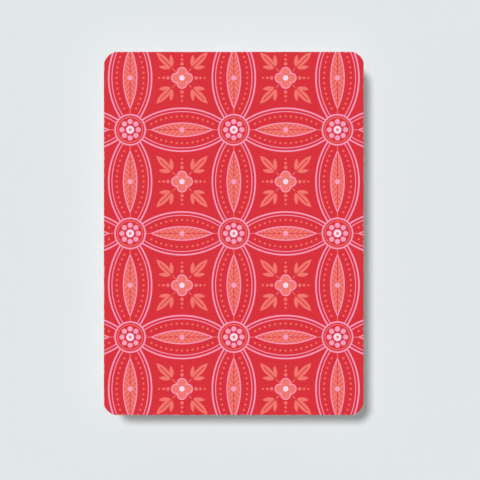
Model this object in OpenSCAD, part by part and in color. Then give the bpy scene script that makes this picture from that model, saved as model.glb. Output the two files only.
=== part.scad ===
// A squared deck of question cards, lying face down with the printed backs up.
// The origin is the middle of the lowest card's face. +Z is up through the deck,
// +Y runs along the long edges and +X across them. All sizes are in millimetres.

/* [Card] */
// Width of a card, across its short edges
card_w = 63.5; // [44:0.1:90]
// Height of a card, along its long edges
card_h = 88.9; // [63:0.1:130]
// Thickness of the laminated card stock
card_t = 0.3; // [0.24:0.01:0.5]
// Radius of the punch that rounds the corners
punch_r = 3.8; // [3.4:0.05:9]
// Length that the punch takes off each edge at a corner
corner_run = 2.55; // [1:0.05:3.3]
// Width and depth of the rim that the die rolls over on the printed back
rolled_rim = 0.07; // [0.01:0.01:0.12]
// Width and depth of the bevel that the cut leaves round the face
face_bevel = 0.03; // [0.01:0.01:0.08]

/* [Deck] */
// Number of cards in the deck
card_count = 52; // [10:1:60]
// Air that the texture of the stock keeps between two cards
air_gap = 0.01; // [0.005:0.005:0.05]
// How far hand squaring leaves a card out of line, either way
stray = 0.12; // [0:0.01:0.4]

/* [Hidden] */
$fn = 96;
back_red = "#dc3540";

// The punch stands this far in from both edges, so its arc meets each of them at a slight angle
punch_in = (corner_run + sqrt(2 * punch_r * punch_r - corner_run * corner_run)) / 2;

// How far stock runs past the cut that trims it
waste = 1;

// Height from one card's face to the next one's
pitch = card_t + air_gap;

// Steps of the golden angle scatter the cards with no rhythm that the eye can find
golden_angle = 137.508;

// Cards are numbered as they are drawn: 1 is on top, and the last lies on the table
function card_name(place) = str("question_card_", place < 10 ? "0" : "", place);

// The top and the bottom card sit true, and those between them stray a little
function strays(place) = place > 1 && place < card_count;
function stray_x(place) = strays(place) ? stray * sin(golden_angle * place) : 0;
function stray_y(place) = strays(place) ? stray * cos(golden_angle * (place + card_count)) : 0;

// The cut edge in section, from face to back, where the edge is `reach` from the middle
function cut_edge(reach) = [
    [reach - face_bevel, 0],
    [reach, face_bevel],
    [reach, card_t - rolled_rim],
    [reach - rolled_rim, card_t]
];

// A band right across the card in X, with its two cut edges, that runs along Y
module cut_band(width, run) {
    right = cut_edge(width / 2);
    left = [for (i = [len(right) - 1:-1:0]) [-right[i][0], right[i][1]]];
    rotate([90, 0, 0])
        linear_extrude(run, center = true)
            polygon(concat(right, left));
}

// A corner as the punch leaves it, with the same cut edge all round
module punched_corner() {
    rotate_extrude()
        polygon(concat([[0, 0]], cut_edge(punch_r), [[0, card_t]]));
}

// A sheet larger than the card, from which the punch has taken the four corners
module punched_sheet() {
    linear_extrude(card_t) {
        square([card_w - 2 * punch_in, card_h + 2 * waste], center = true);
        square([card_w + 2 * waste, card_h - 2 * punch_in], center = true);
    }
    for (x = [-1, 1], y = [-1, 1])
        translate([x * (card_w / 2 - punch_in), y * (card_h / 2 - punch_in), 0])
            punched_corner();
}

// One card as it leaves the cutter, face down and printed back up
module card_blank() {
    intersection() {
        punched_sheet();
        cut_band(card_w, card_h + 2 * waste);
        rotate([0, 0, 90]) cut_band(card_h, card_w + 2 * waste);
    }
}

// A card at its place in the deck
module question_card(place) {
    color(back_red)
        translate([stray_x(place), stray_y(place), (card_count - place) * pitch])
            card_blank();
}

for (place = [1:card_count])
    question_card(place);
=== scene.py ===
import math

import bmesh
import bpy
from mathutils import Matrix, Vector


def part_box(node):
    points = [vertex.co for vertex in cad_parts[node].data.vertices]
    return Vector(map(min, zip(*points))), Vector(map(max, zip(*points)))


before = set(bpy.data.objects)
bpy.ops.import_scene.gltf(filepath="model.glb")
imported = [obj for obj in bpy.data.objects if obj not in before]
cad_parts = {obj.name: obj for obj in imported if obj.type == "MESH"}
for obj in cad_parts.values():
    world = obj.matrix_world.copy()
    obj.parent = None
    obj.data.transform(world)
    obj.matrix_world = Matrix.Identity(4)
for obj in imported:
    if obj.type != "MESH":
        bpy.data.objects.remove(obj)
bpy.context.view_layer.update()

# Sizes of the deck, in millimetres, from the frame
MM = 0.001
cards = sorted(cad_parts, key=lambda name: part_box(name)[0].z, reverse=True)
top_low, top_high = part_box(cards[0])
next_low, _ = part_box(cards[1])
card_size = (top_high - top_low) / MM
half_w = card_size.x / 2
half_h = card_size.y / 2
stock = card_size.z
pitch = (top_low.z - next_low.z) / MM
deck_top = top_high.z / MM


def srgb(red, green, blue):
    """A screen colour of 0 to 255 a channel, as the linear values that a shader takes."""
    shares = [channel / 255 for channel in (red, green, blue)]
    linear = [s / 12.92 if s <= 0.04045 else ((s + 0.055) / 1.055) ** 2.4 for s in shares]
    return (*linear, 1.0)


# Inks and paper
GROUND_RED = srgb(218, 39, 52)
LINE_PINK = srgb(252, 158, 190)
FILL_CORAL = srgb(242, 117, 108)
PALE_PINK = srgb(251, 219, 239)
FACE_BLUSH = srgb(251, 236, 231)
PAPER_WHITE = srgb(251, 248, 243)
CORE_GREY = srgb(146, 142, 148)


class Field:
    """A number that varies from place to place. Arithmetic on it adds Math nodes to its tree."""

    def __init__(self, tree, socket):
        self.tree = tree
        self.socket = socket

    def math(self, operation, *operands, clamp=False):
        node = self.tree.nodes.new("ShaderNodeMath")
        node.operation = operation
        node.use_clamp = clamp
        for slot, operand in zip(node.inputs, (self, *operands)):
            feed(self.tree, slot, operand)
        return Field(self.tree, node.outputs[0])

    def __add__(self, other):
        return self.math("ADD", other)

    def __sub__(self, other):
        return self.math("SUBTRACT", other)

    def __rsub__(self, other):
        return self.math("MULTIPLY_ADD", -1, other)

    def __mul__(self, other):
        return self.math("MULTIPLY", other)

    def __truediv__(self, other):
        return self.math("DIVIDE", other)

    def __abs__(self):
        return self.math("ABSOLUTE")


def feed(tree, slot, value):
    """Links a field or a socket to an input, or sets a plain value on it."""
    if isinstance(value, Field):
        value = value.socket
    if isinstance(value, bpy.types.NodeSocket):
        tree.links.new(value, slot)
    else:
        slot.default_value = value


def larger(a, b):
    return a.math("MAXIMUM", b)


def smaller(a, b):
    return a.math("MINIMUM", b)


def folded(field, half_repeat):
    """Mirrors a length to and fro, so that a motif drawn once repeats both ways."""
    return field.math("PINGPONG", half_repeat)


def above(field, level, steepness):
    """Nothing up to a level, and then a climb of the given steepness to full."""
    return (field - level).math("MULTIPLY", steepness, clamp=True)


def joined(tree, *lengths):
    """One vector from up to three lengths."""
    vector = tree.nodes.new("ShaderNodeCombineXYZ")
    for slot, length in zip(vector.inputs, lengths):
        feed(tree, slot, length)
    return vector.outputs[0]


def axes(tree, vector):
    """The X, Y and Z of a vector, as fields."""
    split = tree.nodes.new("ShaderNodeSeparateXYZ")
    tree.links.new(vector, split.inputs[0])
    return [Field(tree, axis) for axis in split.outputs]


def distance(x, y):
    """How far a point lies from the origin."""
    length = x.tree.nodes.new("ShaderNodeVectorMath")
    length.operation = "LENGTH"
    x.tree.links.new(joined(x.tree, x, y), length.inputs[0])
    return Field(x.tree, length.outputs["Value"])


def turned(x, y, angle_deg):
    """How far out a point lies along a line at an angle to the first axis, and how far to its side."""
    cosine = math.cos(math.radians(angle_deg))
    sine = math.sin(math.radians(angle_deg))
    return x * cosine + y * sine, abs(y * cosine - x * sine)


# Width over which an inked edge fades into the paper
INK_BLEED = 0.07


def inside(outline):
    """Full where a signed distance is below zero, with a short fade."""
    return outline.math("MULTIPLY_ADD", -1 / INK_BLEED, 0.5, clamp=True)


def stroke(outline, width):
    """A line of the given width drawn along an outline."""
    return inside(abs(outline) - width / 2)


def leaf(along, across, half_length, half_width):
    """Outline of a pointed leaf, where across is never below zero."""
    arc = (half_length**2 + half_width**2) / (2 * half_width)
    return distance(across + (arc - half_width), along) - arc


def lay(tree, under, ink, cover):
    """Prints an ink over a colour wherever the cover is full."""
    mix = tree.nodes.new("ShaderNodeMix")
    mix.data_type = "RGBA"
    feed(tree, mix.inputs["Factor"], cover)
    feed(tree, mix.inputs["A"], under)
    feed(tree, mix.inputs["B"], ink)
    return mix.outputs["Result"]


def between(tree, low, high, share):
    """A number between two others, by a share that varies from place to place."""
    mix = tree.nodes.new("ShaderNodeMix")
    feed(tree, mix.inputs["Factor"], share)
    feed(tree, mix.inputs["A"], low)
    feed(tree, mix.inputs["B"], high)
    return Field(tree, mix.outputs["Result"])


def noise(tree, place, grain, detail):
    """Soft random grain of the given size, about half way on average."""
    texture = tree.nodes.new("ShaderNodeTexNoise")
    texture.inputs["Scale"].default_value = 1 / grain
    texture.inputs["Detail"].default_value = detail
    tree.links.new(place, texture.inputs["Vector"])
    return Field(tree, texture.outputs["Fac"])


def new_group(name, outputs):
    """A shader node group with its input, a place on the deck, in millimetres, and its output node."""
    group = bpy.data.node_groups.new(name, "ShaderNodeTree")
    group.interface.new_socket("Place", in_out="INPUT", socket_type="NodeSocketVector")
    for label, kind in outputs.items():
        group.interface.new_socket(label, in_out="OUTPUT", socket_type=kind)
    given = group.nodes.new("NodeGroupInput")
    scale = group.nodes.new("ShaderNodeVectorMath")
    scale.operation = "SCALE"
    scale.inputs["Scale"].default_value = 1 / MM
    group.links.new(given.outputs["Place"], scale.inputs[0])
    return group, scale.outputs[0], group.nodes.new("NodeGroupOutput")


# Line weights shared by both prints
BOLD_LINE = 0.36
FINE_LINE = 0.25
HAIR_LINE = 0.19

# Parts of a rosette, as shares of its radius
INNER_RING = 0.83
FLORET_ORBIT = 0.54
FLORET_R = 0.17
HEART_R = 0.26
HEART_DOT_R = 0.1


def rosette(group, colour, out, side, radius):
    """Eight florets round a pale heart in a double ring, where out is never below side."""
    centre = distance(out, side)
    ring = centre - radius
    colour = lay(group, colour, GROUND_RED, inside(ring))
    colour = lay(group, colour, LINE_PINK, stroke(ring, BOLD_LINE))
    colour = lay(group, colour, FILL_CORAL, stroke(centre - INNER_RING * radius, HAIR_LINE))
    orbit = FLORET_ORBIT * radius
    slant = orbit * math.sqrt(0.5)
    straight = distance(out - orbit, side)
    slanted = distance(out - slant, side - slant)
    florets = smaller(straight, slanted) - FLORET_R * radius
    colour = lay(group, colour, LINE_PINK, inside(florets))
    colour = lay(group, colour, PALE_PINK, inside(centre - HEART_R * radius))
    return lay(group, colour, FILL_CORAL, inside(centre - HEART_DOT_R * radius))


# Printed back: a trellis of overlapping circles
REPEATS_ACROSS = 2.5
TRELLIS = 2 * half_w / REPEATS_ACROSS
CIRCLE_R = TRELLIS / math.sqrt(2)
ROSETTE_R = 3.7

# The hair line and the row of pearls inside each side of a petal
LINE_INSET = 0.8
PEARL_INSET = 1.95
PEARL_PITCH = 1.3
PEARL_R = 0.24
PEARLS_EACH_WAY = 6

# The leaf along the spine of a petal
LEAF_HALF_LENGTH = 7.4
LEAF_HALF_WIDTH = 1.65
VEIN_PITCH = 1.3
VEIN_SLANT = 1.1
BERRY_R = 0.62

# The flower between four petals, and the trail of beads from it to each of them
LOBE_OUT = 1.4
LOBE_R = 1.15
EYE_R = 0.65
TRAIL_COUNT = 3
TRAIL_OUT = 3.45
TRAIL_STEP = 1.05
TRAIL_R = 0.42
TRAIL_SHRINK = 0.76

# The sprig from that flower towards each rosette
SPRIG_TURN_DEG = 45
FORK_OUT = 3.3
FROND_OUT = 6.2
FROND_HALF_LENGTH = 2.7
FROND_HALF_WIDTH = 0.8
MIDRIB_REACH = 7.6
SIDE_LEAF_TURN_DEG = 38
SIDE_LEAF_OUT = 1.9
SIDE_LEAF_HALF_LENGTH = 1.45
SIDE_LEAF_HALF_WIDTH = 0.47


def petals(group, major, minor):
    """Petals where the circles overlap, each with a veined leaf along its spine and pearls beside that."""
    from_spine = TRELLIS / 2 - major
    blade = leaf(minor, from_spine, LEAF_HALF_LENGTH, LEAF_HALF_WIDTH)
    slanting = folded(minor - from_spine * VEIN_SLANT, VEIN_PITCH / 2)
    veins = stroke(smaller(slanting, from_spine), HAIR_LINE)
    stem = from_spine - HAIR_LINE / 2
    colour = lay(group, GROUND_RED, FILL_CORAL, inside(smaller(blade, stem)))
    colour = lay(group, colour, GROUND_RED, veins * inside(blade))
    colour = lay(group, colour, LINE_PINK, stroke(blade, FINE_LINE))
    colour = lay(group, colour, LINE_PINK, inside(distance(minor, from_spine) - BERRY_R))

    petal = distance(major - TRELLIS, minor) - CIRCLE_R
    around = minor.math("ARCTAN2", TRELLIS - major) * (CIRCLE_R - PEARL_INSET)
    pearls = distance(folded(around, PEARL_PITCH / 2), petal + PEARL_INSET) - PEARL_R
    past_last = around - (PEARLS_EACH_WAY + 0.5) * PEARL_PITCH
    colour = lay(group, colour, FILL_CORAL, inside(larger(pearls, past_last)))
    colour = lay(group, colour, LINE_PINK, stroke(petal + LINE_INSET, HAIR_LINE))
    return lay(group, colour, LINE_PINK, stroke(petal, BOLD_LINE))


def flower(group, colour, major, minor):
    """A flower of four lobes, with a trail of beads towards each petal."""
    lobe = distance(major - LOBE_OUT, minor) - LOBE_R
    colour = lay(group, colour, FILL_CORAL, inside(lobe))
    colour = lay(group, colour, LINE_PINK, stroke(lobe, FINE_LINE))
    colour = lay(group, colour, PALE_PINK, inside(distance(major, minor) - EYE_R))
    for bead in range(TRAIL_COUNT):
        to_bead = distance(major - (TRAIL_OUT + bead * TRAIL_STEP), minor)
        colour = lay(group, colour, FILL_CORAL, inside(to_bead - TRAIL_R * TRAIL_SHRINK**bead))
    return colour


def sprig(group, colour, major, minor):
    """A stem towards each rosette, with a ribbed frond at its end and a smaller leaf to either side."""
    along, across = turned(major, minor, SPRIG_TURN_DEG)
    frond = leaf(along - FROND_OUT, across, FROND_HALF_LENGTH, FROND_HALF_WIDTH)
    out, aside = turned(along - FORK_OUT, across, SIDE_LEAF_TURN_DEG)
    side_leaf = leaf(out - SIDE_LEAF_OUT, aside, SIDE_LEAF_HALF_LENGTH, SIDE_LEAF_HALF_WIDTH)
    midrib = larger(across - FINE_LINE / 2, along - MIDRIB_REACH)
    stem = larger(across - HAIR_LINE / 2, along - FORK_OUT)
    colour = lay(group, colour, FILL_CORAL, inside(smaller(frond, side_leaf)))
    colour = lay(group, colour, GROUND_RED, inside(midrib))
    return lay(group, colour, FILL_CORAL, inside(stem))


def back_print():
    """The trellis, with a flower and its sprigs in each space and a rosette where four petals meet."""
    group, place, result = new_group("Back Print", {"Color": "NodeSocketColor"})
    x, y, _ = axes(group, place)
    half = TRELLIS / 2
    # From 0 in the middle of a space to half a repeat at a rosette, both ways
    u = folded(x + half, half)
    v = folded(y + half, half)
    major = larger(u, v)
    minor = smaller(u, v)
    colour = petals(group, major, minor)
    colour = sprig(group, colour, major, minor)
    colour = flower(group, colour, major, minor)
    colour = rosette(group, colour, half - minor, half - major, ROSETTE_R)
    feed(group, result.inputs["Color"], colour)
    return group


# Question face: a bare field in a ruled frame
FRAME_INSET = 4.6
FRAME_R = 2.4
RULE_GAP = 1.0
CORNER_INSET = 6.0
CORNER_ROSETTE_R = 2.75
END_LEAF_OUT = 3.6
END_LEAF_HALF_LENGTH = 2.9
END_LEAF_HALF_WIDTH = 0.85
BUD_R = 0.7


def ruled_frame(x, y):
    """Outline of a rounded rectangle set in from the card's edge, where x and y are never below zero."""
    past_x = x - (half_w - FRAME_INSET - FRAME_R)
    past_y = y - (half_h - FRAME_INSET - FRAME_R)
    corner = distance(larger(past_x, 0.0), larger(past_y, 0.0))
    return corner + smaller(larger(past_x, past_y), 0.0) - FRAME_R


def face_print():
    """A double rule with a rosette at each corner and two leaves at each end, round room for the question."""
    group, place, result = new_group("Face Print", {"Color": "NodeSocketColor"})
    across, along, _ = axes(group, place)
    x = abs(across)
    y = abs(along)
    rule = ruled_frame(x, y)
    colour = lay(group, FACE_BLUSH, GROUND_RED, stroke(rule, BOLD_LINE))
    colour = lay(group, colour, FILL_CORAL, stroke(rule + RULE_GAP, HAIR_LINE))
    to_corner_x = abs(x - (half_w - CORNER_INSET))
    to_corner_y = abs(y - (half_h - CORNER_INSET))
    out = larger(to_corner_x, to_corner_y)
    side = smaller(to_corner_x, to_corner_y)
    colour = rosette(group, colour, out, side, CORNER_ROSETTE_R)
    to_end = abs(y - (half_h - FRAME_INSET))
    end_leaf = leaf(x - END_LEAF_OUT, to_end, END_LEAF_HALF_LENGTH, END_LEAF_HALF_WIDTH)
    colour = lay(group, colour, FILL_CORAL, inside(end_leaf))
    colour = lay(group, colour, GROUND_RED, stroke(end_leaf, FINE_LINE))
    colour = lay(group, colour, GROUND_RED, inside(distance(x, to_end) - BUD_R))
    feed(group, result.inputs["Color"], colour)
    return group


# Cut edge: white laminated stock
CORE_LINE = 0.03
CORE_DEPTH = 0.35
MARK_GRAIN = 0.33
MARK_DETAIL = 3
MARK_LEVEL = 0.45
MARK_STEEPNESS = 1.0
MARK_SHIFT = 5.3


def cut_edge():
    """The stock seen edge on: the glue line of its core, and marks that differ from card to card."""
    group, place, result = new_group("Cut Edge", {"Color": "NodeSocketColor"})
    x, y, z = axes(group, place)
    cards_up = z / pitch
    level = cards_up.math("FRACT") * pitch
    core = stroke(level - stock / 2, CORE_LINE)
    colour = lay(group, PAPER_WHITE, CORE_GREY, core * CORE_DEPTH)
    card_number = cards_up.math("FLOOR")
    along_edge = joined(group, x, y, card_number * MARK_SHIFT)
    marks = noise(group, along_edge, MARK_GRAIN, MARK_DETAIL)
    colour = lay(group, colour, CORE_GREY, above(marks, MARK_LEVEL, MARK_STEEPNESS))
    feed(group, result.inputs["Color"], colour)
    return group


# Finish of the stock
LINEN_PITCH = 0.52
LINEN_DEPTH = 0.08
THREAD_SHARE = 0.4
FIBRE_SHARE = 0.2
FIBRE_GRAIN = 0.38
FIBRE_DETAIL = 2
HAZE_GRAIN = 11
HAZE_DETAIL = 3
RUB_GRAIN = 1.4
RUB_DETAIL = 4
RUB_LEVEL = 0.48
RUB_STEEPNESS = 5
RUB_MOST = 0.45


def stock_finish():
    """The linen emboss, the unevenness of the varnish, and how far handling has rubbed the ink off a rim."""
    outputs = ["Emboss", "Haze", "Rub"]
    group, place, result = new_group("Stock Finish", dict.fromkeys(outputs, "NodeSocketFloat"))
    x, y, _ = axes(group, place)
    half = LINEN_PITCH / 2
    threads = (folded(x, half) + folded(y, half)) / half
    fibre = noise(group, place, FIBRE_GRAIN, FIBRE_DETAIL)
    haze = noise(group, place, HAZE_GRAIN, HAZE_DETAIL)
    rub = above(noise(group, place, RUB_GRAIN, RUB_DETAIL), RUB_LEVEL, RUB_STEEPNESS)
    feed(group, result.inputs["Emboss"], threads * THREAD_SHARE + fibre * FIBRE_SHARE)
    feed(group, result.inputs["Haze"], haze)
    feed(group, result.inputs["Rub"], rub * RUB_MOST)
    return group


# A surface is the back, the face or an edge by how far it turns up or down
PRINTED_TILT = 0.3
RIM_TILT = 0.9

# Gloss of the varnish and of the bare cut edge
SATIN_SPECULAR = 0.18
VARNISH_ROUGH = (0.54, 0.7)
EDGE_ROUGH = 0.88


def card_material():
    """One printed card: its back, its face and its cut edge."""
    material = bpy.data.materials.new("printed_card")
    material.use_nodes = True
    tree = material.node_tree
    shader = tree.nodes["Principled BSDF"]
    shader.inputs["Specular IOR Level"].default_value = SATIN_SPECULAR
    where = tree.nodes.new("ShaderNodeTexCoord")

    def on_card(group):
        node = tree.nodes.new("ShaderNodeGroup")
        node.node_tree = group
        tree.links.new(where.outputs["Object"], node.inputs["Place"])
        return node.outputs

    finish = on_card(stock_finish())
    _, _, up = axes(tree, where.outputs["Normal"])
    is_back = up.math("GREATER_THAN", PRINTED_TILT)
    is_face = up.math("LESS_THAN", -PRINTED_TILT)
    on_rim = is_back * up.math("LESS_THAN", RIM_TILT)
    colour = on_card(cut_edge())["Color"]
    colour = lay(tree, colour, on_card(back_print())["Color"], is_back)
    colour = lay(tree, colour, on_card(face_print())["Color"], is_face)
    colour = lay(tree, colour, PAPER_WHITE, on_rim * finish["Rub"])
    feed(tree, shader.inputs["Base Color"], colour)

    printed = is_back + is_face
    varnish = between(tree, *VARNISH_ROUGH, finish["Haze"])
    feed(tree, shader.inputs["Roughness"], between(tree, EDGE_ROUGH, varnish, printed))
    bump = tree.nodes.new("ShaderNodeBump")
    bump.inputs["Distance"].default_value = LINEN_DEPTH * MM
    feed(tree, bump.inputs["Height"], printed * finish["Emboss"])
    tree.links.new(bump.outputs["Normal"], shader.inputs["Normal"])
    return material


# Camera: straight down, as the photograph was taken
PHOTO_SIDE_PX = 480
CARD_CENTRE_PX = (233.8, 233.4)
CARD_WIDTH_PX = 259.15
LENS_MM = 135
SENSOR_MM = 36


def make_camera():
    mm_per_px = card_size.x / CARD_WIDTH_PX
    data = bpy.data.cameras.new("photo_camera")
    data.lens = LENS_MM
    data.sensor_width = SENSOR_MM
    camera = bpy.data.objects.new("photo_camera", data)
    centre_x = (PHOTO_SIDE_PX / 2 - CARD_CENTRE_PX[0]) * mm_per_px
    centre_y = (CARD_CENTRE_PX[1] - PHOTO_SIDE_PX / 2) * mm_per_px
    stand_off = PHOTO_SIDE_PX * mm_per_px * LENS_MM / SENSOR_MM
    camera.location = Vector((centre_x, centre_y, deck_top + stand_off)) * MM
    bpy.context.scene.collection.objects.link(camera)
    bpy.context.scene.camera = camera


# Light: a soft key from the upper left, in a sky that is brighter low down
KEY_LEAN_DEG = 15.4
KEY_TURN_DEG = -50
KEY_SOFTNESS_DEG = 9
SKY_WHITE = srgb(255, 255, 255)
HORIZON = 0.95
ZENITH = 0.05

# The top card gets a third of the horizon and two thirds of the zenith, and the key makes that up to one
KEY_SHARE = 1 - (HORIZON + 2 * ZENITH) / 3


def make_key():
    lean = math.radians(KEY_LEAN_DEG)
    turn = math.radians(KEY_TURN_DEG)
    data = bpy.data.lights.new("key", "SUN")
    data.angle = math.radians(KEY_SOFTNESS_DEG)
    # A sun of energy pi lights what faces it to the level at which its colour was written
    data.energy = KEY_SHARE * math.pi / math.cos(lean)
    key = bpy.data.objects.new("key", data)
    sideways = math.sin(lean)
    ray = Vector((sideways * math.cos(turn), sideways * math.sin(turn), -math.cos(lean)))
    key.rotation_euler = ray.to_track_quat("-Z", "Y").to_euler()
    bpy.context.scene.collection.objects.link(key)


# Pale floor, and the same colour beyond its edge
FLOOR_PALE = srgb(226, 232, 234)
FLOOR_HALF_M = 3.0
FLOOR_ROUGH = 0.9
FLOOR_SPECULAR = 0.1


def make_sky():
    world = bpy.data.worlds.new("sky")
    world.use_nodes = True
    bpy.context.scene.world = world
    tree = world.node_tree
    sky = tree.nodes["Background"]
    where = tree.nodes.new("ShaderNodeTexCoord")
    _, _, height = axes(tree, where.outputs["Generated"])
    feed(tree, sky.inputs["Strength"], between(tree, HORIZON, ZENITH, abs(height)))
    sky.inputs["Color"].default_value = SKY_WHITE
    beyond = tree.nodes.new("ShaderNodeBackground")
    beyond.inputs["Color"].default_value = FLOOR_PALE
    seen = tree.nodes.new("ShaderNodeLightPath")
    mix = tree.nodes.new("ShaderNodeMixShader")
    tree.links.new(seen.outputs["Is Camera Ray"], mix.inputs["Fac"])
    tree.links.new(sky.outputs[0], mix.inputs[1])
    tree.links.new(beyond.outputs[0], mix.inputs[2])
    tree.links.new(mix.outputs[0], tree.nodes["World Output"].inputs["Surface"])


def make_floor():
    mesh = bpy.data.meshes.new("floor")
    shape = bmesh.new()
    bmesh.ops.create_grid(shape, x_segments=1, y_segments=1, size=FLOOR_HALF_M)
    shape.to_mesh(mesh)
    shape.free()
    floor = bpy.data.objects.new("floor", mesh)
    bpy.context.scene.collection.objects.link(floor)
    material = bpy.data.materials.new("pale_floor")
    material.use_nodes = True
    shader = material.node_tree.nodes["Principled BSDF"]
    shader.inputs["Base Color"].default_value = FLOOR_PALE
    shader.inputs["Roughness"].default_value = FLOOR_ROUGH
    shader.inputs["Specular IOR Level"].default_value = FLOOR_SPECULAR
    mesh.materials.append(material)


bpy.context.scene.view_settings.view_transform = "Standard"
make_camera()
make_key()
make_sky()
make_floor()
printed_card = card_material()
for name in cards:
    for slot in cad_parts[name].material_slots:
        slot.material = printed_card
